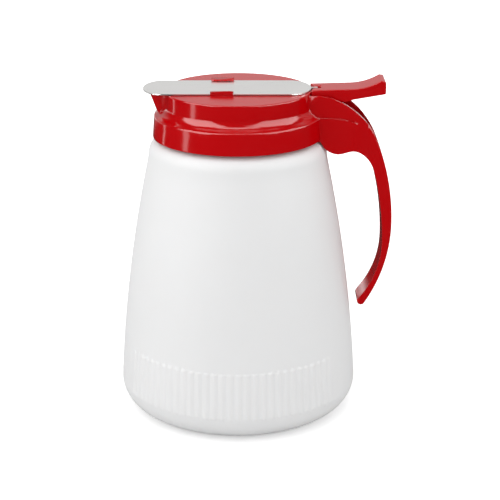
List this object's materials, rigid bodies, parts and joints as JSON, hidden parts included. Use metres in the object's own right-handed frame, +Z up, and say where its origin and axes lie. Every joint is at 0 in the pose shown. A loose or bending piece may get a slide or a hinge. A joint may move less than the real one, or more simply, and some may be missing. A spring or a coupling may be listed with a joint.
{
  "type": "syrup dispenser",
  "caption": "Table syrup dispenser: tapered white jar with a screw-on red top, pouring spout, open handle and a thumb lever that slides a flat steel cut-off blade over the spout.",
  "frame": {"origin": "centre of the jar's base on the table, on the jar's axis", "axes": "+Z up along the jar's axis; +X towards the handle, -X towards the spout; +Y to the far side when the handle is on the right"},
  "size_m": [0.1522, 0.1342, 0.1886],
  "materials": {
    "jar_polyethylene": "satin blow-moulded white",
    "seal_rubber": "soft off-white",
    "red_abs": "glossy moulded red",
    "stainless_blade": "rolled and brushed",
    "steel_wire": "drawn bright"
  },
  "bodies": {
    "jar_body": {"jar": "jar_polyethylene"},
    "seal_body": {"seal_ring": "seal_rubber"},
    "top_body": {"top_housing": "red_abs", "lever_pin": "steel_wire", "lever_spring": "steel_wire"},
    "lever_body": {"thumb_lever": "red_abs"},
    "blade_body": {"cutter_blade": "stainless_blade"}
  },
  "joints": [
    {"name": "top_lift", "type": "slide", "parent": "jar_body", "child": "seal_body", "axis": [0, 0, 1], "range_m": [0, 0.005]},
    {"name": "top_turn", "type": "hinge", "parent": "seal_body", "child": "top_body", "pos_m": [0, 0, 0.16], "axis": [0, 0, 1], "range_deg": [0, 450]},
    {"name": "lever_swing", "type": "hinge", "parent": "top_body", "child": "lever_body", "pos_m": [0.0505, 0, 0.1584], "axis": [0, 1, 0], "range_deg": [0, 30], "stiffness_Nm_per_rad": 0.1, "springref_deg": -20.05, "deforming": ["lever_spring"]},
    {"name": "blade_slide", "type": "slide", "parent": "top_body", "child": "blade_body", "axis": [1, 0, 0], "range_m": [0, 0.0133]}
  ],
  "couplings": [
    {"joint": "top_lift", "follows": "top_turn", "m_per_rad": 0.00063662},
    {"joint": "blade_slide", "follows": "lever_swing", "m_per_rad": 0.025287}
  ]
}
